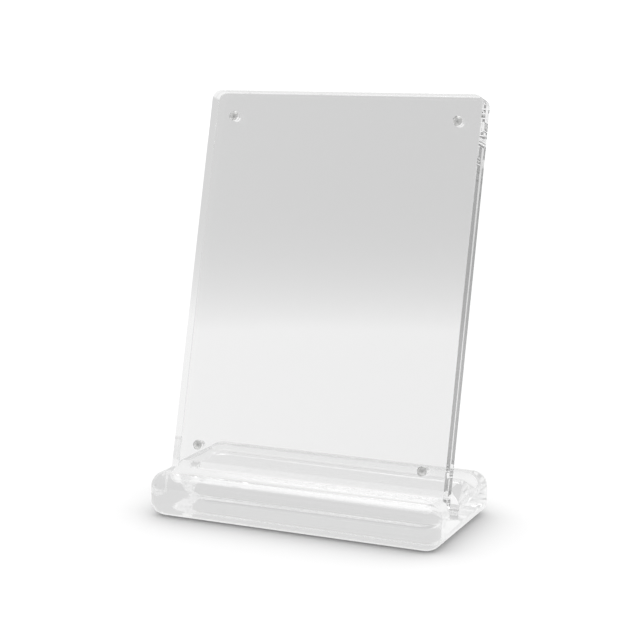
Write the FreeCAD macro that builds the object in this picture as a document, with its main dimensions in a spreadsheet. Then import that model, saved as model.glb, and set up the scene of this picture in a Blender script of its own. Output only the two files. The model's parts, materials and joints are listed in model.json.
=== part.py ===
"""Clear acrylic photo stand: two magnetic sheets leaning back in a slotted base block.

The sheets clamp a photo between them with four pairs of disc magnets. Millimetres, +Z up,
+X to the viewer's right and +Y to the back. The origin is the middle of the base's underside.
"""
import FreeCAD
import Part
import Sketcher
import os

DRIVING_SIZES = [
    # alias, value, what it is
    ("panel_width", 152.4, "width of both sheets"),
    ("panel_height", 212.0, "height of both sheets along the lean"),
    ("plate_thickness", 6.0, "thickness of one sheet"),
    ("panel_corner_radius", 5.0, "corner radius of the sheets seen from the front"),
    ("plate_edge_break", 0.4, "polished break on each sheet's outer edges"),
    ("photo_gap", 0.3, "gap between the sheets, where the photo goes"),
    ("lean_angle", 14.8, "lean of the sheets from the vertical, in degrees"),
    ("magnet_diameter", 5.0, "diameter of a disc magnet"),
    ("magnet_length", 3.0, "length of a disc magnet"),
    ("magnet_rim_round", 0.25, "rounding of a magnet's rims"),
    ("magnet_side_inset", 13.0, "magnet axis to a sheet's side edge"),
    ("magnet_top_inset", 13.5, "magnet axis to a sheet's top edge"),
    ("magnet_bottom_inset", 22.0, "magnet axis to a sheet's bottom edge"),
    ("magnet_clearance", 0.05, "glue film around a magnet and at its two ends"),
    ("base_overhang", 4.6, "base beyond the sheets at each side"),
    ("base_depth", 83.5, "base from front to back"),
    ("base_height", 23.0, "base from underside to top"),
    ("base_corner_radius", 9.0, "corner radius of the base seen from above"),
    ("base_top_round", 8.0, "rounding of the base's top edges"),
    ("base_foot_round", 8.0, "rounding of the base's bottom edges"),
    ("slot_setback", 20.5, "base's front to the front sheet, along the top face"),
    ("slot_depth", 10.0, "depth of the slot along the lean"),
    ("slot_clearance", 0.3, "slot wall to a sheet, at the front and at the back"),
    ("seat_clearance", 0.1, "slot floor to the sheets' bottom edge"),
]
DERIVED_SIZES = [
    ("base_length", "=panel_width + 2 * base_overhang", "base from left to right"),
    ("top_round", "=min(base_top_round; 0.95 * base_corner_radius; 0.55 * base_height)",
     "top edge rounding, limited by the block"),
    ("foot_round", "=min(base_foot_round; 0.95 * base_corner_radius; 0.4 * base_height)",
     "bottom edge rounding, limited by the block"),
    ("edge_break", "=min(plate_edge_break; 0.3 * plate_thickness)",
     "sheet edge break, limited by the sheet"),
    ("stack_thickness", "=2 * plate_thickness + photo_gap", "front face to back face of the pair"),
    ("slot_width", "=stack_thickness + 2 * slot_clearance", "slot from wall to wall"),
    ("lean_sin", "=sin(lean_angle * 1 deg)", "sine of the lean"),
    ("lean_cos", "=cos(lean_angle * 1 deg)", "cosine of the lean"),
    # Foot line of the front sheet's front face: slot_depth down the lean from the base's top.
    ("sunk_depth", "=slot_depth - seat_clearance", "sheets below the base's top, along the lean"),
    ("foot_y", "=slot_setback - base_depth / 2 - sunk_depth * lean_sin", "front foot line, Y"),
    ("foot_z", "=base_height - sunk_depth * lean_cos", "front foot line, Z"),
    ("hole_radius", "=magnet_diameter / 2 + magnet_clearance", "radius of a magnet's blind hole"),
    ("hole_depth", "=magnet_length + 2 * magnet_clearance", "depth of a magnet's blind hole"),
    ("hole_half_spacing", "=panel_width / 2 - magnet_side_inset", "magnet axis to the middle"),
    ("hole_top", "=panel_height - magnet_top_inset", "upper magnets above the foot"),
    ("hole_bottom", "=magnet_bottom_inset", "lower magnets above the foot"),
]
HOLE_PLACES = {
    "top_left": (-1, "hole_top"),
    "top_right": (1, "hole_top"),
    "bottom_left": (-1, "hole_bottom"),
    "bottom_right": (1, "hole_bottom"),
}


def make_sheet(doc):
    """Spreadsheet of driving sizes and of the sizes that follow from them."""
    sheet = doc.addObject("Spreadsheet::Sheet", "Sizes")
    rows = [(name, str(value), note) for name, value, note in DRIVING_SIZES] + DERIVED_SIZES
    for row, (name, value, note) in enumerate(rows, start=1):
        sheet.set("A%d" % row, name)
        sheet.set("B%d" % row, value)
        sheet.set("C%d" % row, note)
        sheet.setAlias("B%d" % row, name)
    doc.recompute()
    return sheet


def make_body(doc, label):
    body = doc.addObject("PartDesign::Body", label)
    body.Label = label
    return body


def origin_plane(body, role):
    """One of the body's own origin planes, such as XY_Plane."""
    return next(item for item in body.Origin.OriginFeatures if item.Role == role)


def make_sketch(body, role, name):
    sketch = body.newObject("Sketcher::SketchObject", name)
    sketch.AttachmentSupport = (origin_plane(body, role), [""])
    sketch.MapMode = "FlatFace"
    return sketch


def bind(feature, constraint, expression):
    """Tie a sketch's named constraint to the sheet."""
    feature.setExpression("Constraints." + constraint, expression)


def add_rectangle(sketch):
    """Closed rectangle of level and upright lines; sides are bottom, right, top, left."""
    corners = [FreeCAD.Vector(x, y, 0) for x, y in ((-1, 0), (1, 0), (1, 2), (-1, 2))]
    for start, end in zip(corners, corners[1:] + corners[:1]):
        sketch.addGeometry(Part.LineSegment(start, end), False)
    for side in range(4):
        sketch.addConstraint(Sketcher.Constraint("Coincident", side, 2, (side + 1) % 4, 1))
        kind = "Vertical" if side % 2 else "Horizontal"
        sketch.addConstraint(Sketcher.Constraint(kind, side))


def add_size(sketch, name, constraint, expression):
    """Add a dimension, name it and tie it to the sheet."""
    index = sketch.addConstraint(constraint)
    sketch.renameConstraint(index, name)
    bind(sketch, name, expression)


def pad(body, sketch, length, reverse=False):
    feature = body.newObject("PartDesign::Pad", "Pad")
    feature.Profile = sketch
    feature.Reversed = reverse
    feature.setExpression("Length", length)
    return feature


def edges_where(feature, wanted):
    """Names of the edges of a feature for which wanted(edge) is true."""
    return ["Edge%d" % (i + 1) for i, edge in enumerate(feature.Shape.Edges) if wanted(edge)]


def round_edges(body, base, names, radius):
    feature = body.newObject("PartDesign::Fillet", "Fillet")
    feature.Base = (base, names)
    feature.setExpression("Radius", radius)
    return feature


def runs_along(axis):
    """Test for straight edges along one axis."""
    def wanted(edge):
        if edge.Curve.TypeId != "Part::GeomLine":
            return False
        return abs(edge.tangentAt(edge.FirstParameter).dot(axis)) > 0.999
    return wanted


def lies_at(axis, place):
    """Test for edges that lie whole in the plane at one place along an axis."""
    def wanted(edge):
        return all(abs(vertex.Point.dot(axis) - place) < 1e-6 for vertex in edge.Vertexes)
    return wanted


def leaned(across, up, back):
    """Expression for a placement in the leaning sheets' frame.

    across, up and back are expressions for the place along X, up the lean and into the stack,
    from the foot line of the front sheet's front face.
    """
    place = ("vector({0}; Sizes.foot_y + ({1}) * Sizes.lean_sin + ({2}) * Sizes.lean_cos;"
             " Sizes.foot_z + ({1}) * Sizes.lean_cos - ({2}) * Sizes.lean_sin)")
    turn = "rotation(vector(1; 0; 0); -Sizes.lean_angle)"
    return "placement(%s; %s)" % (place.format(across, up, back), turn)


def make_plate(doc, label, is_front):
    """One sheet, with its inner face on the body's XZ plane and blind magnet holes in it."""
    up_axis = FreeCAD.Vector(0, 0, 1)
    through = FreeCAD.Vector(0, 1, 0)
    body = make_body(doc, label)
    outline = make_sketch(body, "XZ_Plane", "Outline")
    add_rectangle(outline)
    outline.addConstraint(Sketcher.Constraint("PointOnObject", 0, 1, -1))
    add_size(outline, "half_width", Sketcher.Constraint("DistanceX", 0, 1, -1, 1, 1.0),
             "Sizes.panel_width / 2")
    add_size(outline, "width", Sketcher.Constraint("DistanceX", 0, 1, 0, 2, 2.0), "Sizes.panel_width")
    add_size(outline, "height", Sketcher.Constraint("DistanceY", 1, 1, 1, 2, 2.0), "Sizes.panel_height")
    slab = pad(body, outline, "Sizes.plate_thickness", reverse=not is_front)
    doc.recompute()
    across = runs_along(through)
    corners = round_edges(body, slab, edges_where(slab, across), "Sizes.panel_corner_radius")
    doc.recompute()
    box = corners.Shape.BoundBox
    outer = box.YMin if is_front else box.YMax
    polished = round_edges(body, corners, edges_where(corners, lies_at(through, outer)), "Sizes.edge_break")
    doc.recompute()
    holes = make_sketch(body, "XZ_Plane", "MagnetHoles")
    for index, (side, height) in enumerate(HOLE_PLACES.values()):
        centre = FreeCAD.Vector(10 * side, 10 * (index + 1), 0)
        holes.addGeometry(Part.Circle(centre, up_axis, 1.0), False)
        add_size(holes, "radius%d" % index, Sketcher.Constraint("Radius", index, 1.0), "Sizes.hole_radius")
        add_size(holes, "across%d" % index, Sketcher.Constraint("DistanceX", -1, 1, index, 3, centre.x),
                 "%d * Sizes.hole_half_spacing" % side)
        add_size(holes, "up%d" % index, Sketcher.Constraint("DistanceY", -1, 1, index, 3, centre.y),
                 "Sizes." + height)
    pocket = body.newObject("PartDesign::Pocket", "Pocket")
    pocket.Profile = holes
    pocket.Reversed = is_front
    pocket.setExpression("Length", "Sizes.hole_depth")
    back = "Sizes.plate_thickness" if is_front else "Sizes.plate_thickness + Sizes.photo_gap"
    body.setExpression("Placement", leaned("0", "0", back))
    doc.recompute()
    check_cut(polished, pocket)
    return body


def make_magnet(doc, label, is_front, side, height):
    """One disc magnet, standing on the floor of its blind hole with a film of glue."""
    body = make_body(doc, label)
    disc = make_sketch(body, "XZ_Plane", "Disc")
    disc.addGeometry(Part.Circle(FreeCAD.Vector(0, 0, 0), FreeCAD.Vector(0, 0, 1), 1.0), False)
    disc.addConstraint(Sketcher.Constraint("Coincident", 0, 3, -1, 1))
    add_size(disc, "radius", Sketcher.Constraint("Radius", 0, 1.0), "Sizes.magnet_diameter / 2")
    slug = pad(body, disc, "Sizes.magnet_length", reverse=True)
    doc.recompute()
    rims = edges_where(slug, lambda edge: edge.Curve.TypeId == "Part::GeomCircle")
    round_edges(body, slug, rims, "Sizes.magnet_rim_round")
    if is_front:
        back = "Sizes.plate_thickness - Sizes.magnet_length - Sizes.magnet_clearance"
    else:
        back = "Sizes.plate_thickness + Sizes.photo_gap + Sizes.magnet_clearance"
    across = "%d * Sizes.hole_half_spacing" % side
    body.setExpression("Placement", leaned(across, "Sizes." + height, back))
    return body


def make_base(doc):
    """Rounded block with a slot that runs its whole length and leans with the sheets."""
    up_axis = FreeCAD.Vector(0, 0, 1)
    body = make_body(doc, "base_block")
    plan = make_sketch(body, "XY_Plane", "Plan")
    add_rectangle(plan)
    plan.addConstraint(Sketcher.Constraint("Symmetric", 0, 1, 1, 2, -1, 1))
    add_size(plan, "length", Sketcher.Constraint("DistanceX", 0, 1, 0, 2, 2.0), "Sizes.base_length")
    add_size(plan, "depth", Sketcher.Constraint("DistanceY", 1, 1, 1, 2, 2.0), "Sizes.base_depth")
    block = pad(body, plan, "Sizes.base_height")
    doc.recompute()
    corners = round_edges(body, block, edges_where(block, runs_along(up_axis)), "Sizes.base_corner_radius")
    doc.recompute()
    top = edges_where(corners, lies_at(up_axis, doc.Sizes.base_height))
    domed = round_edges(body, corners, top, "Sizes.top_round")
    doc.recompute()
    rounded = round_edges(body, domed, edges_where(domed, lies_at(up_axis, 0)), "Sizes.foot_round")
    doc.recompute()
    slot = make_sketch(body, "YZ_Plane", "Slot")
    add_rectangle(slot)
    slot.addConstraint(Sketcher.Constraint("PointOnObject", 0, 1, -1))
    add_size(slot, "front", Sketcher.Constraint("DistanceX", 0, 1, -1, 1, 1.0), "Sizes.slot_clearance")
    add_size(slot, "width", Sketcher.Constraint("DistanceX", 0, 1, 0, 2, 2.0), "Sizes.slot_width")
    add_size(slot, "reach", Sketcher.Constraint("DistanceY", 1, 1, 1, 2, 2.0), "3 * Sizes.slot_depth")
    slot.setExpression(
        "AttachmentOffset",
        "placement(vector(Sizes.foot_y - Sizes.seat_clearance * Sizes.lean_sin;"
        " Sizes.foot_z - Sizes.seat_clearance * Sizes.lean_cos; 0);"
        " rotation(vector(0; 0; 1); -Sizes.lean_angle))")
    pocket = body.newObject("PartDesign::Pocket", "SlotPocket")
    pocket.Profile = slot
    pocket.Type = "ThroughAll"
    pocket.Midplane = True
    doc.recompute()
    check_cut(rounded, pocket)
    return body


def check_cut(before, after):
    """Stop if a pocket pointed away from the solid and cut nothing."""
    if after.Shape.Volume > before.Shape.Volume - 1.0:
        raise RuntimeError("%s cut nothing" % after.Name)


def check_document(doc, bodies):
    """Stop if any object failed or any sub-part's shape is missing or not valid."""
    for item in doc.Objects:
        if "Invalid" in item.State or "Error" in item.State:
            raise RuntimeError("%s failed: %s" % (item.Label, item.State))
    for body in bodies:
        if body.Shape.isNull() or not body.Shape.isValid() or len(body.Shape.Solids) != 1:
            raise RuntimeError("%s has no single valid solid" % body.Label)


def main():
    doc = FreeCAD.newDocument("PhotoStand")
    make_sheet(doc)
    bodies = [make_base(doc)]
    for name, is_front in (("front", True), ("rear", False)):
        bodies.append(make_plate(doc, name + "_plate", is_front))
        for place, (side, height) in HOLE_PLACES.items():
            bodies.append(make_magnet(doc, "%s_magnet_%s" % (name, place), is_front, side, height))
    doc.recompute()
    check_document(doc, bodies)
    os.makedirs("parts", exist_ok=True)
    for body in bodies:
        body.Shape.exportStep("parts/%s.step" % body.Label)
        box = body.Shape.BoundBox
        print("%-26s %9.1f mm3  X %.1f..%.1f  Y %.1f..%.1f  Z %.1f..%.1f" % (
            body.Label, body.Shape.Volume, box.XMin, box.XMax, box.YMin, box.YMax, box.ZMin, box.ZMax))


main()
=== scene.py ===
"""Clear acrylic photo stand: its pieces, their finishes and the studio round them.

Two sheets held together by corner magnets lean back in the slot of a rounded base block.
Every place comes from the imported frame, in metres, +X to the right, +Y to the back and +Z up.
"""
import json
import math

import bmesh
import bpy
from mathutils import Matrix, Vector


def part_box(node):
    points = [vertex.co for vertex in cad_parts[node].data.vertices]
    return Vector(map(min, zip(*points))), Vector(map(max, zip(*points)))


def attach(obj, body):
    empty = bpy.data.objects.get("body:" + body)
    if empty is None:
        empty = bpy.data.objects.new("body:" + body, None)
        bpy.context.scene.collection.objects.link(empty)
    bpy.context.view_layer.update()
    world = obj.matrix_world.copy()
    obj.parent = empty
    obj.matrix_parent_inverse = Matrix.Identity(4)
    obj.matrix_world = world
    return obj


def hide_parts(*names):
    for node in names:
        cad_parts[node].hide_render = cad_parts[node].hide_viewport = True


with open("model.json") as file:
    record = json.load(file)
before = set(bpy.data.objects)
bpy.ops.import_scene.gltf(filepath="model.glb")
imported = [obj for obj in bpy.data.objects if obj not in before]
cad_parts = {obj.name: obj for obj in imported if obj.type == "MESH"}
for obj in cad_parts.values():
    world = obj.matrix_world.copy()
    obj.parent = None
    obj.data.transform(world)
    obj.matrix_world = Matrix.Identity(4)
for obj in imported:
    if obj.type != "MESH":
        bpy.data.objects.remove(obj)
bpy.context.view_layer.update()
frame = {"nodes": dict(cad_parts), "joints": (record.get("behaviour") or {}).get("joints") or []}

bl_info = {
    "name": "Acrylic Photo Stand",
    "version": (1, 0, 0),
    "blender": (4, 5, 0),
    "location": "3D View > Sidebar > Photo Stand",
    "description": "Builds a clear acrylic photo stand with magnetic sheets and its studio",
    "category": "Object",
}

NODES = frame["nodes"]
LIFT_AXIS = Vector(next(j["axis"] for j in frame["joints"] if j["name"] == "frame_lift")).normalized()
ACROSS = Vector((1.0, 0.0, 0.0))
THROUGH = LIFT_AXIS.cross(ACROSS).normalized()
PLACES = ("top_left", "top_right", "bottom_left", "bottom_right")
SHEET_BODIES = {"front": "front_sheet", "rear": "rear_sheet"}
LEAN_AXES = (ACROSS, THROUGH, LIFT_AXIS)

# Mesh work: weld and crease limits, and how far the slot's cutter runs past the block.
WELD_DISTANCE = 1e-7
CREASE_ANGLE = math.radians(30)
FLAT_FACE_WEIGHT = 80
EDGE_BREAK_STEPS = 4
CUTTER_OVERREACH = 1.1
CUTTER_HEIGHT = 3

# Disc profile: rows of the grid, and the shares of half of them where the face ends, the wall
# starts and the wall's middle row lies.
DISC_ROWS = 31
FACE_SHARE = 0.5
WALL_SHARE = 0.1
MIDDLE_SHARE = 0.05
DISC_WELD_DISTANCE = 1e-6

# Finishes: polish waves as (scale, depth in metres), haze of a hairline, grain of the plating.
BLOCK_WAVES = (22.0, 0.000006)
SHEET_WAVES = (14.0, 0.000003)
HAIRLINE_HAZE = 0.02
GRAIN_SHADE = 0.94
GRAIN_ROUGHNESS = (0.8, 1.2)

# Floor: a disc a little under the base, in pale matt paper that gives off a little light.
FLOOR_RADIUS = 3.0
FLOOR_SIDES = 96
FLOOR_DROP = 0.0001
PAPER_COLOR = (0.77, 0.77, 0.77, 1.0)
PAPER_GLOW = 0.17
PAPER_ROUGHNESS = 0.9

# Surroundings: where a direction's X, Y or Z passes from one brightness to the next.
WHITE = (1.0, 1.0, 1.0, 1.0)
WHITE_ROOM = 1.2
BACKDROP_TOP = (0.86, 0.93)
KEY_EDGE = (-0.6, -0.3)
FILL_EDGE = (-0.25, 0.1)
ROOM_TOP = (0.42, 0.55)
CEILING_TOP = (0.84, 0.92)
FRONT_TO_BACK = (-0.2, 0.4)
LEFT_FLANK = (-0.85, -0.55)
RIGHT_FLANK = (0.6, 0.85)

# Light paths: the clear edges stay bright only with this many bounces.
CLEAR_BOUNCES = 128
TRANSPARENT_BOUNCES = 64


# ---------------------------------------------------------------- sizes and finishes

class BlockSizes(bpy.types.PropertyGroup):
    """Sizes of the base block that the frame's boxes don't give."""
    corner_radius: bpy.props.FloatProperty(
        name="Corner radius", description="Corner radius of the block seen from above",
        default=0.009, min=0.001, unit="LENGTH")
    top_round: bpy.props.FloatProperty(
        name="Top rounding", description="Radius along the block's top edges",
        default=0.008, min=0.0005, unit="LENGTH")
    foot_round: bpy.props.FloatProperty(
        name="Foot rounding", description="Radius along the block's bottom edges",
        default=0.008, min=0.0005, unit="LENGTH")
    slot_play: bpy.props.FloatProperty(
        name="Slot play", description="Slot wall to a sheet, at the front and at the back",
        default=0.0003, min=0.0, unit="LENGTH")
    seat_play: bpy.props.FloatProperty(
        name="Seat play", description="Slot floor to the sheets' bottom edge",
        default=0.0001, min=0.0, unit="LENGTH")
    steps: bpy.props.IntProperty(
        name="Steps", description="Faces along a quarter of a rounding", default=24, min=3, max=64)


class SheetSizes(bpy.types.PropertyGroup):
    """Sizes of the sheets that the frame's boxes don't give."""
    corner_radius: bpy.props.FloatProperty(
        name="Corner radius", description="Corner radius of a sheet seen from the front",
        default=0.005, min=0.0005, unit="LENGTH")
    edge_break: bpy.props.FloatProperty(
        name="Edge break", description="Polished break along a sheet's outer edges",
        default=0.0004, min=0.00005, unit="LENGTH")
    film: bpy.props.FloatProperty(
        name="Glue film", description="Film round a magnet and at its two ends",
        default=0.00005, min=0.0, unit="LENGTH")
    steps: bpy.props.IntProperty(
        name="Steps", description="Faces along a quarter of a corner", default=16, min=3, max=64)
    hole_sides: bpy.props.IntProperty(
        name="Hole sides", description="Faces round a magnet's hole", default=72, min=12, max=256)


class MagnetSizes(bpy.types.PropertyGroup):
    """Sizes of the disc magnets that the frame's boxes don't give."""
    rim_round: bpy.props.FloatProperty(
        name="Rim rounding", description="Rounding of a disc's rims",
        default=0.0004, min=0.00001, unit="LENGTH")
    crown: bpy.props.FloatProperty(
        name="Crown", description="Rise of the plated face from its rim to its middle",
        default=0.0005, min=0.0, unit="LENGTH")
    sides: bpy.props.IntProperty(
        name="Sides", description="Faces round a disc", default=64, min=12, max=256)


class Finishes(bpy.types.PropertyGroup):
    """Colours and polish of the acrylic and of the magnets' plating."""
    acrylic_tint: bpy.props.FloatVectorProperty(
        name="Acrylic tint", description="Colour that light keeps after crossing the acrylic",
        subtype="COLOR", default=(1.0, 1.0, 1.0), min=0.0, max=1.0)
    acrylic_ior: bpy.props.FloatProperty(
        name="Acrylic IOR", description="Index of refraction of cast acrylic", default=1.49, min=1.0)
    plating: bpy.props.FloatVectorProperty(
        name="Plating", description="Colour of the magnets' nickel plate",
        subtype="COLOR", default=(0.94, 0.94, 0.93), min=0.0, max=1.0)
    plating_roughness: bpy.props.FloatProperty(
        name="Plating roughness", description="Roughness of the nickel plate",
        default=0.35, min=0.0, max=1.0)


class Studio(bpy.types.PropertyGroup):
    """Camera, floor and surroundings."""
    azimuth: bpy.props.FloatProperty(
        name="Azimuth", description="Camera's turn to the right of straight ahead",
        default=math.radians(24.27), subtype="ANGLE", unit="ROTATION")
    elevation: bpy.props.FloatProperty(
        name="Elevation", description="Camera's height above the horizon",
        default=math.radians(10.16), subtype="ANGLE", unit="ROTATION")
    distance: bpy.props.FloatProperty(
        name="Distance", description="Camera to the point it looks at",
        default=0.81634, min=0.1, unit="LENGTH")
    aim: bpy.props.FloatVectorProperty(
        name="Aim", description="Point the camera looks at", subtype="TRANSLATION",
        unit="LENGTH", default=(0.00042, 0.0, 0.10324))
    lens: bpy.props.FloatProperty(
        name="Lens", description="Focal length on a 36 mm sensor, in mm", default=89.42, min=10.0)
    paper: bpy.props.FloatProperty(
        name="Paper", description="Brightness of the floor seen through the acrylic",
        default=0.948, min=0.0)
    backdrop: bpy.props.FloatProperty(
        name="Backdrop", description="Brightness of the grey backdrop", default=0.693, min=0.0)
    paper_reach: bpy.props.FloatProperty(
        name="Paper reach", description="How far from the stand the floor stays bright",
        default=0.53, min=0.0, unit="LENGTH")
    paper_fade: bpy.props.FloatProperty(
        name="Paper fade", description="Distance over which the floor fades two thirds of the way",
        default=0.25, min=0.01, unit="LENGTH")
    ceiling: bpy.props.FloatProperty(
        name="Ceiling", description="Brightness of the ceiling over the camera",
        default=0.6, min=0.0)
    dome: bpy.props.FloatProperty(
        name="Dome", description="Brightness of the soft light on the floor",
        default=1.16, min=0.0)
    overhead: bpy.props.FloatProperty(
        name="Overhead", description="Brightness of the overhead panel", default=2.3, min=0.0)
    flanks: bpy.props.FloatProperty(
        name="Flanks", description="Brightness of the side panels", default=0.7, min=0.0)
    front: bpy.props.FloatProperty(
        name="Front", description="Brightness of the dim room behind the camera",
        default=0.25, min=0.0)
    key: bpy.props.FloatProperty(
        name="Key", description="Brightness of the soft panel at the front left",
        default=0.5, min=0.0)
    fill: bpy.props.FloatProperty(
        name="Fill", description="Brightness of the soft panel at the front right",
        default=0.65, min=0.0)


# ---------------------------------------------------------------- places

def extent(node):
    """Lowest and highest places of a CAD node across, through and up the lean."""
    points = [vertex.co for vertex in NODES[node].data.vertices]
    spans = [[point.dot(axis) for point in points] for axis in LEAN_AXES]
    return Vector([min(span) for span in spans]), Vector([max(span) for span in spans])


def sheet_frame():
    """Matrix whose X, Y and Z are across the sheets, through them and up the lean."""
    return Matrix(LEAN_AXES).transposed().to_4x4()


# ---------------------------------------------------------------- mesh helpers

def finish_piece(name, mesh, material, body, nodes):
    """Put a mesh in the scene as a piece that rides a body and stands for CAD nodes."""
    piece = bpy.data.objects.new(name, mesh)
    bpy.context.scene.collection.objects.link(piece)
    mesh.materials.clear()
    mesh.materials.append(material)
    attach(piece, body)
    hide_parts(*nodes)
    return piece


def plain_mesh(source, name):
    """The mesh that an object's modifiers give, and nothing left of the object."""
    depsgraph = bpy.context.evaluated_depsgraph_get()
    mesh = bpy.data.meshes.new_from_object(source.evaluated_get(depsgraph), depsgraph=depsgraph)
    mesh.name = name
    bpy.data.objects.remove(source)
    return mesh


def temporary(name, bm):
    """Object that holds a bmesh until its modifiers have run."""
    mesh = bpy.data.meshes.new(name)
    bm.normal_update()
    bm.to_mesh(mesh)
    bm.free()
    made = bpy.data.objects.new(name, mesh)
    bpy.context.scene.collection.objects.link(made)
    return made


def rounded_ring(low, high, radius, steps):
    """Corner points of a rounded rectangle from low to high, anticlockwise."""
    points = []
    centres = ((high[0] - radius, low[1] + radius), (high[0] - radius, high[1] - radius),
               (low[0] + radius, high[1] - radius), (low[0] + radius, low[1] + radius))
    for corner, (cx, cy) in enumerate(centres):
        for step in range(steps + 1):
            angle = math.pi / 2 * (corner - 1 + step / steps)
            points.append((cx + radius * math.cos(angle), cy + radius * math.sin(angle)))
    return points


def skin(rings):
    """Closed bmesh through a stack of rings with equal counts of 3-D points."""
    bm = bmesh.new()
    rows = [[bm.verts.new(point) for point in ring] for ring in rings]
    count = len(rows[0])
    for lower, upper in zip(rows, rows[1:]):
        for i in range(count):
            j = (i + 1) % count
            bm.faces.new((lower[i], lower[j], upper[j], upper[i]))
    bm.faces.new(list(reversed(rows[0])))
    bm.faces.new(rows[-1])
    bmesh.ops.recalc_face_normals(bm, faces=bm.faces)
    return bm


def slab(low, high, radius, steps, profile, to_point):
    """Rounded slab: profile lists (place, inset) of its rings, to_point makes them 3-D."""
    rings = []
    for place, inset in profile:
        ring = rounded_ring((low[0] + inset, low[1] + inset), (high[0] - inset, high[1] - inset),
                            radius - inset, steps)
        rings.append([to_point(x, y, place) for x, y in ring])
    return skin(rings)


def quarter(radius, steps):
    """(rise, inset) pairs along a quarter circle, from flat to upright."""
    turns = [math.pi / 2 * step / steps for step in range(steps + 1)]
    return [(radius * (1 - math.cos(turn)), radius * (1 - math.sin(turn))) for turn in turns]


def box_mesh(low, high, matrix):
    """Plain box between two corners of a turned frame, for cutting."""
    bm = bmesh.new()
    bmesh.ops.create_cube(bm, size=1.0)
    middle, spread = (low + high) / 2, high - low
    stretch = Matrix.Diagonal((*spread, 1.0))
    bmesh.ops.transform(bm, matrix=matrix @ Matrix.Translation(middle) @ stretch, verts=bm.verts)
    return bm


def hole_mesh(centre, radius, length, matrix, sides):
    """Plain cylinder along a turned frame's Y, for cutting."""
    bm = bmesh.new()
    bmesh.ops.create_cone(bm, cap_ends=True, segments=sides, radius1=radius, radius2=radius,
                          depth=length)
    stand = Matrix.Rotation(math.pi / 2, 4, "X")
    bmesh.ops.transform(bm, matrix=matrix @ Matrix.Translation(centre) @ stand, verts=bm.verts)
    return bm


def cut(target, cutters):
    """Boolean each cutter out of the target, then take the cutters away."""
    for cutter in cutters:
        boolean = target.modifiers.new("Cut", "BOOLEAN")
        boolean.operation = "DIFFERENCE"
        boolean.solver = "EXACT"
        boolean.object = cutter
    mesh = plain_mesh(target, target.name)
    for cutter in cutters:
        bpy.data.objects.remove(cutter)
    return mesh


def polished(mesh, name):
    """Smooth shading with crisp creases, and flat faces left truly flat."""
    bm = bmesh.new()
    bm.from_mesh(mesh)
    bmesh.ops.remove_doubles(bm, verts=bm.verts, dist=WELD_DISTANCE)
    bmesh.ops.dissolve_degenerate(bm, edges=bm.edges, dist=WELD_DISTANCE)
    for face in bm.faces:
        face.smooth = True
    for edge in bm.edges:
        edge.smooth = len(edge.link_faces) == 2 and edge.calc_face_angle() < CREASE_ANGLE
    made = temporary(name, bm)
    bpy.data.meshes.remove(mesh)
    weighted = made.modifiers.new("Weighted", "WEIGHTED_NORMAL")
    weighted.keep_sharp = True
    weighted.weight = FLAT_FACE_WEIGHT
    return plain_mesh(made, name)


# ---------------------------------------------------------------- shader helpers

def add(tree, kind, **values):
    """New node with its properties and unlinked inputs set by name."""
    node = tree.nodes.new(kind)
    for key, value in values.items():
        if hasattr(node, key):
            setattr(node, key, value)
        else:
            node.inputs[key.replace("_", " ")].default_value = value
    return node


def new_group(name, inputs, outputs):
    """Shader node group with float inputs {name: default} and named float outputs."""
    group = bpy.data.node_groups.new(name, "ShaderNodeTree")
    group.interface.new_socket("Vector", in_out="INPUT", socket_type="NodeSocketVector")
    for key, default in inputs.items():
        socket = group.interface.new_socket(key, in_out="INPUT", socket_type="NodeSocketFloat")
        socket.default_value = default
    for key in outputs:
        group.interface.new_socket(key, in_out="OUTPUT", socket_type="NodeSocketFloat")
    return group, group.nodes.new("NodeGroupInput"), group.nodes.new("NodeGroupOutput")


def polish_waves():
    """Group: slow waves that polishing leaves in a surface."""
    group, given, out = new_group("Polish Waves", {"Scale": 20.0, "Detail": 1.0}, ("Height",))
    noise = add(group, "ShaderNodeTexNoise", Roughness=0.4)
    group.links.new(given.outputs["Vector"], noise.inputs["Vector"])
    group.links.new(given.outputs["Scale"], noise.inputs["Scale"])
    group.links.new(given.outputs["Detail"], noise.inputs["Detail"])
    group.links.new(noise.outputs["Fac"], out.inputs["Height"])
    return group


def wipe_marks():
    """Group: sparse hairlines from wiping, as a mask that is 1 on a line."""
    group, given, out = new_group(
        "Wipe Marks", {"Scale": 60.0, "Width": 0.004, "Patchiness": 0.55}, ("Mask",))
    stretch = add(group, "ShaderNodeMapping", vector_type="POINT")
    stretch.inputs["Rotation"].default_value = (0.35, 0.2, 0.6)
    stretch.inputs["Scale"].default_value = (1.0, 1.0, 0.06)
    cells = add(group, "ShaderNodeTexVoronoi", feature="DISTANCE_TO_EDGE")
    near = add(group, "ShaderNodeMath", operation="LESS_THAN")
    patch = add(group, "ShaderNodeTexNoise", Scale=18.0, Detail=2.0)
    patchy = add(group, "ShaderNodeMath", operation="GREATER_THAN")
    both = add(group, "ShaderNodeMath", operation="MULTIPLY")
    link = group.links.new
    link(given.outputs["Vector"], stretch.inputs["Vector"])
    link(stretch.outputs["Vector"], cells.inputs["Vector"])
    link(given.outputs["Scale"], cells.inputs["Scale"])
    link(cells.outputs["Distance"], near.inputs[0])
    link(given.outputs["Width"], near.inputs[1])
    link(given.outputs["Vector"], patch.inputs["Vector"])
    link(patch.outputs["Fac"], patchy.inputs[0])
    link(given.outputs["Patchiness"], patchy.inputs[1])
    link(near.outputs[0], both.inputs[0])
    link(patchy.outputs[0], both.inputs[1])
    link(both.outputs[0], out.inputs["Mask"])
    return group


def new_material(name):
    """Material with its Principled shader, node tree and object coordinates."""
    material = bpy.data.materials.new(name)
    material.use_nodes = True
    tree = material.node_tree
    shader = tree.nodes["Principled BSDF"]
    coordinates = tree.nodes.new("ShaderNodeTexCoord")
    return material, tree, shader, coordinates.outputs["Object"]


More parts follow.
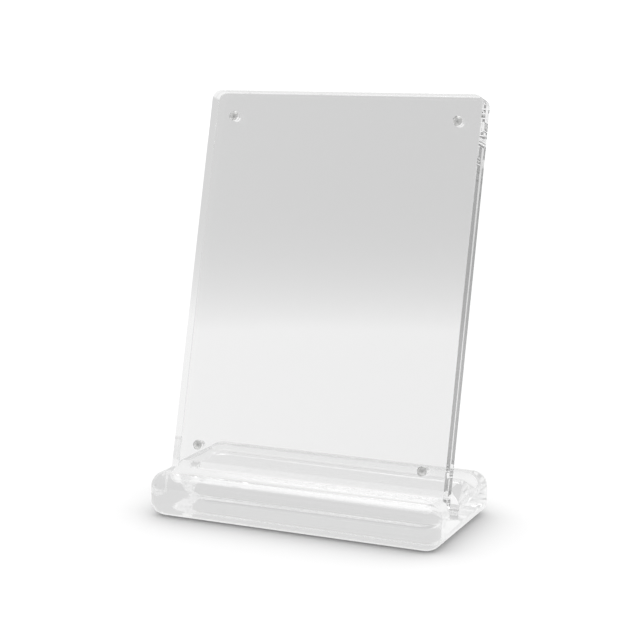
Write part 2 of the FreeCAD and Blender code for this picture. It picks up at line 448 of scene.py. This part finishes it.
def use_group(tree, name, vector, **values):
    """Place a shader group, feed it coordinates and set its own values."""
    node = tree.nodes.new("ShaderNodeGroup")
    node.node_tree = bpy.data.node_groups[name]
    tree.links.new(vector, node.inputs["Vector"])
    for key, value in values.items():
        node.inputs[key].default_value = value
    return node


def clear_acrylic(name, finishes, waves):
    """Cast acrylic: clear, with faint polish waves and a few hairlines."""
    material, tree, shader, place = new_material(name)
    shader.inputs["Base Color"].default_value = (*finishes.acrylic_tint, 1.0)
    shader.inputs["IOR"].default_value = finishes.acrylic_ior
    shader.inputs["Transmission Weight"].default_value = 1.0
    scale, depth = waves
    ripple = use_group(tree, "Polish Waves", place, Scale=scale)
    bump = add(tree, "ShaderNodeBump", Strength=1.0, Distance=depth)
    tree.links.new(ripple.outputs["Height"], bump.inputs["Height"])
    tree.links.new(bump.outputs["Normal"], shader.inputs["Normal"])
    marks = use_group(tree, "Wipe Marks", place)
    dull = add(tree, "ShaderNodeMapRange", To_Min=0.0, To_Max=HAIRLINE_HAZE)
    tree.links.new(marks.outputs["Mask"], dull.inputs["Value"])
    tree.links.new(dull.outputs["Result"], shader.inputs["Roughness"])
    return material


def nickel_plate(name, finishes):
    """Bright nickel plate with a faint grain."""
    material, tree, shader, place = new_material(name)
    shader.inputs["Metallic"].default_value = 1.0
    grain = add(tree, "ShaderNodeTexNoise", Scale=2500.0, Detail=3.0)
    tree.links.new(place, grain.inputs["Vector"])
    tone = add(tree, "ShaderNodeMix", data_type="RGBA")
    tone.inputs["A"].default_value = (*[c * GRAIN_SHADE for c in finishes.plating], 1.0)
    tone.inputs["B"].default_value = (*finishes.plating, 1.0)
    tree.links.new(grain.outputs["Fac"], tone.inputs["Factor"])
    tree.links.new(tone.outputs["Result"], shader.inputs["Base Color"])
    smoothest, roughest = [finishes.plating_roughness * share for share in GRAIN_ROUGHNESS]
    rough = add(tree, "ShaderNodeMapRange", To_Min=smoothest, To_Max=roughest)
    tree.links.new(grain.outputs["Fac"], rough.inputs["Value"])
    tree.links.new(rough.outputs["Result"], shader.inputs["Roughness"])
    return material


# ---------------------------------------------------------------- disc magnets

def disc_tree():
    """Geometry nodes: a crowned disc turned round its axis, stood at a place; disc() sets it."""
    tree = bpy.data.node_groups.new("Disc Magnet", "GeometryNodeTree")
    face = tree.interface
    face.new_socket("Geometry", in_out="OUTPUT", socket_type="NodeSocketGeometry")
    for key in ("Radius", "Length", "Rim Round", "Crown"):
        face.new_socket(key, in_out="INPUT", socket_type="NodeSocketFloat")
    face.new_socket("Sides", in_out="INPUT", socket_type="NodeSocketInt")
    face.new_socket("Place", in_out="INPUT", socket_type="NodeSocketVector")
    face.new_socket("Turn", in_out="INPUT", socket_type="NodeSocketVector")
    face.new_socket("Material", in_out="INPUT", socket_type="NodeSocketMaterial")
    given = tree.nodes.new("NodeGroupInput")
    out = tree.nodes.new("NodeGroupOutput")
    link = tree.links.new

    def calc(operation, first, second=None):
        node = add(tree, "ShaderNodeMath", operation=operation)
        for socket, value in zip(node.inputs, (first, second)):
            if isinstance(value, (int, float)):
                socket.default_value = value
            elif value is not None:
                link(value, socket)
        return node.outputs[0]

    def point(x, y=None, z=None):
        node = tree.nodes.new("ShaderNodeCombineXYZ")
        for key, value in (("X", x), ("Y", y), ("Z", z)):
            if isinstance(value, (int, float)):
                node.inputs[key].default_value = value
            elif value is not None:
                link(value, node.inputs[key])
        return node.outputs[0]

    sheet = add(tree, "GeometryNodeMeshGrid", Size_X=1.0, Size_Y=1.0)
    sheet.inputs["Vertices Y"].default_value = DISC_ROWS
    link(calc("ADD", given.outputs["Sides"], 1), sheet.inputs["Vertices X"])
    where = tree.nodes.new("GeometryNodeInputPosition")
    parts = tree.nodes.new("ShaderNodeSeparateXYZ")
    link(where.outputs[0], parts.inputs[0])
    turn = calc("MULTIPLY", calc("ADD", parts.outputs["X"], 0.5), 2 * math.pi)
    # Down the grid's rows run the lower face, the lower rim, the wall's middle, the upper rim
    # and the upper face; half of it is worked out and the other half mirrors it.
    along = calc("MULTIPLY", calc("ABSOLUTE", parts.outputs["Y"]), 2.0)
    flat = calc("MINIMUM", calc("DIVIDE", calc("SUBTRACT", 1.0, along), FACE_SHARE), 1.0)
    bend = calc("SUBTRACT", 1.0, calc("MAXIMUM", along, WALL_SHARE))
    bend = calc("SUBTRACT", calc("DIVIDE", bend, FACE_SHARE), 1.0)
    bend = calc("MAXIMUM", bend, 0.0)
    rim_span = (1.0 - WALL_SHARE) / FACE_SHARE - 1.0
    angle = calc("MULTIPLY", bend, math.pi / 2 / rim_span)
    rim = given.outputs["Rim Round"]
    inner = calc("SUBTRACT", given.outputs["Radius"], rim)
    reach = calc("ADD", calc("MULTIPLY", flat, inner), calc("MULTIPLY", calc("SINE", angle), rim))
    drop = calc("MULTIPLY", calc("SUBTRACT", 1.0, calc("COSINE", angle)), rim)
    dome = calc("MULTIPLY", calc("MULTIPLY", flat, flat), given.outputs["Crown"])
    half = calc("SUBTRACT", calc("MULTIPLY", given.outputs["Length"], 0.5), drop)
    half = calc("SUBTRACT", half, dome)
    wall = calc("GREATER_THAN", along, MIDDLE_SHARE)
    height = calc("MULTIPLY", calc("MULTIPLY", calc("SIGN", parts.outputs["Y"]), half), wall)
    spot = point(calc("MULTIPLY", reach, calc("COSINE", turn)),
                 calc("MULTIPLY", reach, calc("SINE", turn)), height)
    bent = tree.nodes.new("GeometryNodeSetPosition")
    link(sheet.outputs["Mesh"], bent.inputs["Geometry"])
    link(spot, bent.inputs["Position"])
    joined = add(tree, "GeometryNodeMergeByDistance", Distance=DISC_WELD_DISTANCE)
    link(bent.outputs[0], joined.inputs["Geometry"])
    placed = tree.nodes.new("GeometryNodeTransform")
    link(joined.outputs[0], placed.inputs["Geometry"])
    link(given.outputs["Place"], placed.inputs["Translation"])
    link(given.outputs["Turn"], placed.inputs["Rotation"])
    smooth = tree.nodes.new("GeometryNodeSetShadeSmooth")
    link(placed.outputs[0], smooth.inputs["Geometry"])
    real = tree.nodes.new("GeometryNodeRealizeInstances")
    link(smooth.outputs[0], real.inputs["Geometry"])
    painted = tree.nodes.new("GeometryNodeSetMaterial")
    link(real.outputs[0], painted.inputs["Geometry"])
    link(given.outputs["Material"], painted.inputs["Material"])
    link(painted.outputs[0], out.inputs["Geometry"])
    return tree


def disc(tree, name, material, values):
    """One disc from the tree, as a plain mesh."""
    mesh = bpy.data.meshes.new(name)
    holder = bpy.data.objects.new(name, mesh)
    bpy.context.scene.collection.objects.link(holder)
    modifier = holder.modifiers.new("Disc", "NODES")
    modifier.node_group = tree
    names = {item.name: item.identifier for item in tree.interface.items_tree
             if item.item_type == "SOCKET" and item.in_out == "INPUT"}
    for key, value in {**values, "Material": material}.items():
        modifier[names[key]] = value
    made = plain_mesh(holder, name)
    bpy.data.meshes.remove(mesh)
    return made


# ---------------------------------------------------------------- studio

def floor_stage(studio):
    """Pale floor just under the base: white to the eye, fading to the backdrop in the acrylic."""
    bm = bmesh.new()
    bmesh.ops.create_circle(bm, cap_ends=True, segments=FLOOR_SIDES, radius=FLOOR_RADIUS)
    bmesh.ops.translate(bm, verts=bm.verts, vec=(0.0, 0.0, -FLOOR_DROP))
    floor = temporary("studio_floor", bm)
    material, tree, shader, place = new_material("studio_paper")
    shader.inputs["Base Color"].default_value = PAPER_COLOR
    shader.inputs["Emission Color"].default_value = WHITE
    shader.inputs["Emission Strength"].default_value = PAPER_GLOW
    shader.inputs["Roughness"].default_value = PAPER_ROUGHNESS
    shader.inputs["Specular IOR Level"].default_value = 0.0
    seen = add(tree, "ShaderNodeLightPath")
    glow = add(tree, "ShaderNodeEmission")
    mix = add(tree, "ShaderNodeMixShader")
    length = add(tree, "ShaderNodeVectorMath", operation="LENGTH")
    beyond = add(tree, "ShaderNodeMapRange", interpolation_type="LINEAR",
                 From_Min=studio.paper_reach, From_Max=studio.paper_reach - studio.paper_fade,
                 To_Min=0.0, To_Max=1.0)
    beyond.clamp = False
    inside = add(tree, "ShaderNodeMath", operation="MINIMUM")
    inside.inputs[1].default_value = 0.0
    fade = add(tree, "ShaderNodeMath", operation="EXPONENT")
    near = add(tree, "ShaderNodeMapRange", To_Min=studio.backdrop, To_Max=studio.paper)
    output = tree.nodes["Material Output"]
    link = tree.links.new
    link(place, length.inputs[0])
    link(length.outputs["Value"], beyond.inputs["Value"])
    link(beyond.outputs["Result"], inside.inputs[0])
    link(inside.outputs[0], fade.inputs[0])
    link(fade.outputs[0], near.inputs["Value"])
    link(near.outputs["Result"], glow.inputs["Strength"])
    link(seen.outputs["Is Camera Ray"], mix.inputs[0])
    link(glow.outputs[0], mix.inputs[1])
    link(shader.outputs[0], mix.inputs[2])
    link(mix.outputs[0], output.inputs["Surface"])
    floor.data.materials.append(material)


def soft_world(scene, studio):
    """White to the eye, a soft dome to the floor, a backdrop and panels to the acrylic."""
    world = bpy.data.worlds.new("studio_surroundings")
    scene.world = world
    world.use_nodes = True
    tree = world.node_tree
    tree.nodes.clear()
    link = tree.links.new
    output = add(tree, "ShaderNodeOutputWorld")
    mix = add(tree, "ShaderNodeMixShader")
    seen = add(tree, "ShaderNodeLightPath")
    white = add(tree, "ShaderNodeBackground", Color=WHITE, Strength=WHITE_ROOM)
    room = add(tree, "ShaderNodeBackground", Color=WHITE)
    way = add(tree, "ShaderNodeTexCoord")
    parts = add(tree, "ShaderNodeSeparateXYZ")
    link(way.outputs["Generated"], parts.inputs[0])

    def blend(axis, band, low, high):
        start, end = band
        node = add(tree, "ShaderNodeMapRange", interpolation_type="SMOOTHSTEP",
                   From_Min=start, From_Max=end)
        link(parts.outputs[axis], node.inputs["Value"])
        for key, value in (("To Min", low), ("To Max", high)):
            if isinstance(value, float):
                node.inputs[key].default_value = value
            else:
                link(value, node.inputs[key])
        return node.outputs["Result"]

    backdrop = blend("Z", BACKDROP_TOP, studio.backdrop, studio.overhead)
    front = blend("X", KEY_EDGE, studio.key, studio.front)
    front = blend("X", FILL_EDGE, front, studio.fill)
    front = blend("Z", ROOM_TOP, front, studio.ceiling)
    front = blend("Z", CEILING_TOP, front, studio.overhead)
    around = blend("Y", FRONT_TO_BACK, front, backdrop)
    left = blend("X", LEFT_FLANK, studio.flanks, around)
    level = blend("X", RIGHT_FLANK, left, studio.flanks)
    link(level, room.inputs["Strength"])
    dome = add(tree, "ShaderNodeBackground", Color=WHITE, Strength=studio.dome)
    soft = add(tree, "ShaderNodeMixShader")
    link(seen.outputs["Is Diffuse Ray"], soft.inputs[0])
    link(room.outputs[0], soft.inputs[1])
    link(dome.outputs[0], soft.inputs[2])
    link(seen.outputs["Is Camera Ray"], mix.inputs[0])
    link(soft.outputs[0], mix.inputs[1])
    link(white.outputs[0], mix.inputs[2])
    link(mix.outputs[0], output.inputs["Surface"])
    world.cycles.sampling_method = "NONE"


def studio_camera(scene, studio):
    """Camera in front of the stand, a little to the right and above."""
    data = bpy.data.cameras.new("studio_camera")
    data.sensor_width = 36.0
    data.lens = studio.lens
    data.clip_start = 0.01
    camera = bpy.data.objects.new("studio_camera", data)
    scene.collection.objects.link(camera)
    back = Vector((math.sin(studio.azimuth) * math.cos(studio.elevation),
                   -math.cos(studio.azimuth) * math.cos(studio.elevation), math.sin(studio.elevation)))
    camera.location = Vector(studio.aim) + back * studio.distance
    camera.rotation_euler = (-back).to_track_quat("-Z", "Y").to_euler()
    scene.camera = camera


# ---------------------------------------------------------------- operators

class PHOTOSTAND_OT_finishes(bpy.types.Operator):
    """Make the shader groups and the materials of the stand"""
    bl_idname = "photostand.finishes"
    bl_label = "Finishes"

    def execute(self, context):
        finishes = context.scene.stand_finishes
        polish_waves()
        wipe_marks()
        clear_acrylic("clear_block", finishes, BLOCK_WAVES)
        clear_acrylic("clear_sheet", finishes, SHEET_WAVES)
        nickel_plate("magnet_plating", finishes)
        return {"FINISHED"}


class PHOTOSTAND_OT_base_block(bpy.types.Operator):
    """Make the rounded base block with its leaning slot"""
    bl_idname = "photostand.base_block"
    bl_label = "Base block"

    def execute(self, context):
        sizes = context.scene.stand_block
        low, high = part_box("base_block")
        foot = quarter(sizes.foot_round, sizes.steps)
        top = quarter(sizes.top_round, sizes.steps)
        profile = [(low.z + rise, inset) for rise, inset in foot]
        profile += [(high.z - rise, inset) for rise, inset in reversed(top)]
        block = temporary("block", slab(low, high, sizes.corner_radius, sizes.steps, profile,
                                        lambda x, y, z: (x, y, z)))
        front_low = extent("front_plate")[0]
        rear_high = extent("rear_plate")[1]
        start = Vector((low.x * CUTTER_OVERREACH, front_low.y - sizes.slot_play,
                        front_low.z - sizes.seat_play))
        end = Vector((high.x * CUTTER_OVERREACH, rear_high.y + sizes.slot_play,
                      front_low.z + CUTTER_HEIGHT * high.z))
        cutter = temporary("slot", box_mesh(start, end, sheet_frame()))
        mesh = polished(cut(block, [cutter]), "acrylic_base_block")
        finish_piece("acrylic_base_block", mesh, bpy.data.materials["clear_block"],
                     "base", ["base_block"])
        return {"FINISHED"}


class PHOTOSTAND_OT_sheets(bpy.types.Operator):
    """Make the front and the rear sheet with their blind magnet holes"""
    bl_idname = "photostand.sheets"
    bl_label = "Sheets"

    def execute(self, context):
        sizes = context.scene.stand_sheet
        turned = sheet_frame()
        for side, body in SHEET_BODIES.items():
            low, high = extent(side + "_plate")
            inward = 1.0 if side == "front" else -1.0
            inner = high.y if side == "front" else low.y
            thickness = high.y - low.y
            profile = [(inner, 0.0)]
            profile += [(inner - inward * (thickness - rise), inset)
                        for rise, inset in reversed(quarter(sizes.edge_break, EDGE_BREAK_STEPS))]
            bm = slab((low.x, low.z), (high.x, high.z), sizes.corner_radius, sizes.steps, profile,
                      lambda x, z, y: turned @ Vector((x, y, z)))
            sheet = temporary(side, bm)
            cutters = []
            for place in PLACES:
                near, far = extent("%s_magnet_%s" % (side, place))
                middle, spread = (near + far) / 2, far - near
                floor = (near.y if side == "front" else far.y) - inward * sizes.film
                mouth = inner + inward * spread.y
                centre = Vector((middle.x, (floor + mouth) / 2, middle.z))
                cutters.append(temporary(place, hole_mesh(
                    centre, spread.x / 2 + sizes.film, abs(mouth - floor), turned, sizes.hole_sides)))
            name = "acrylic_%s_sheet" % side
            mesh = polished(cut(sheet, cutters), name)
            piece = finish_piece(name, mesh, bpy.data.materials["clear_sheet"], body,
                                 [side + "_plate"])
            piece.visible_diffuse = False
        return {"FINISHED"}


class PHOTOSTAND_OT_magnets(bpy.types.Operator):
    """Make the eight disc magnets in the sheets' holes"""
    bl_idname = "photostand.magnets"
    bl_label = "Magnets"

    def execute(self, context):
        sizes = context.scene.stand_magnet
        material = bpy.data.materials["magnet_plating"]
        tree = disc_tree()
        turned = sheet_frame()
        for side, body in SHEET_BODIES.items():
            for place in PLACES:
                node = "%s_magnet_%s" % (side, place)
                near, far = extent(node)
                spread = far - near
                stand = (turned @ Matrix.Rotation(math.pi / 2, 4, "X")).to_euler()
                name = "nickel_disc_%s_%s" % (side, place)
                mesh = disc(tree, name, material, {
                    "Radius": spread.x / 2, "Length": spread.y, "Rim Round": sizes.rim_round,
                    "Crown": sizes.crown, "Sides": sizes.sides,
                    "Place": turned @ ((near + far) / 2), "Turn": Vector(stand)})
                finish_piece(name, mesh, material, body, [node])
        return {"FINISHED"}


class PHOTOSTAND_OT_studio(bpy.types.Operator):
    """Set the floor, the soft surroundings and the camera"""
    bl_idname = "photostand.studio"
    bl_label = "Studio"

    def execute(self, context):
        scene, studio = context.scene, context.scene.stand_studio
        floor_stage(studio)
        soft_world(scene, studio)
        studio_camera(scene, studio)
        scene.view_settings.view_transform = "Standard"
        paths = scene.cycles
        paths.max_bounces = paths.transmission_bounces = paths.glossy_bounces = CLEAR_BOUNCES
        paths.transparent_max_bounces = TRANSPARENT_BOUNCES
        paths.caustics_refractive = paths.caustics_reflective = False
        return {"FINISHED"}


class PHOTOSTAND_PT_panel(bpy.types.Panel):
    """Sidebar panel with the stand's sizes, finishes and steps"""
    bl_idname = "PHOTOSTAND_PT_panel"
    bl_label = "Photo Stand"
    bl_space_type = "VIEW_3D"
    bl_region_type = "UI"
    bl_category = "Photo Stand"

    def draw(self, context):
        for group in SETTINGS:
            box = self.layout.box()
            box.label(text=group)
            settings = getattr(context.scene, group)
            for key in settings.__annotations__:
                box.prop(settings, key)
        for step in STEPS:
            self.layout.operator("photostand." + step)


SETTINGS = {"stand_block": BlockSizes, "stand_sheet": SheetSizes, "stand_magnet": MagnetSizes,
            "stand_finishes": Finishes, "stand_studio": Studio}
STEPS = ("finishes", "base_block", "sheets", "magnets", "studio")
CLASSES = (BlockSizes, SheetSizes, MagnetSizes, Finishes, Studio, PHOTOSTAND_OT_finishes,
           PHOTOSTAND_OT_base_block, PHOTOSTAND_OT_sheets, PHOTOSTAND_OT_magnets,
           PHOTOSTAND_OT_studio, PHOTOSTAND_PT_panel)


def register():
    for cls in CLASSES:
        bpy.utils.register_class(cls)
    for name, group in SETTINGS.items():
        setattr(bpy.types.Scene, name, bpy.props.PointerProperty(type=group))


def unregister():
    for name in SETTINGS:
        delattr(bpy.types.Scene, name)
    for cls in reversed(CLASSES):
        bpy.utils.unregister_class(cls)


def main():
    register()
    for step in STEPS:
        getattr(bpy.ops.photostand, step)()


if __name__ == "__main__":
    main()
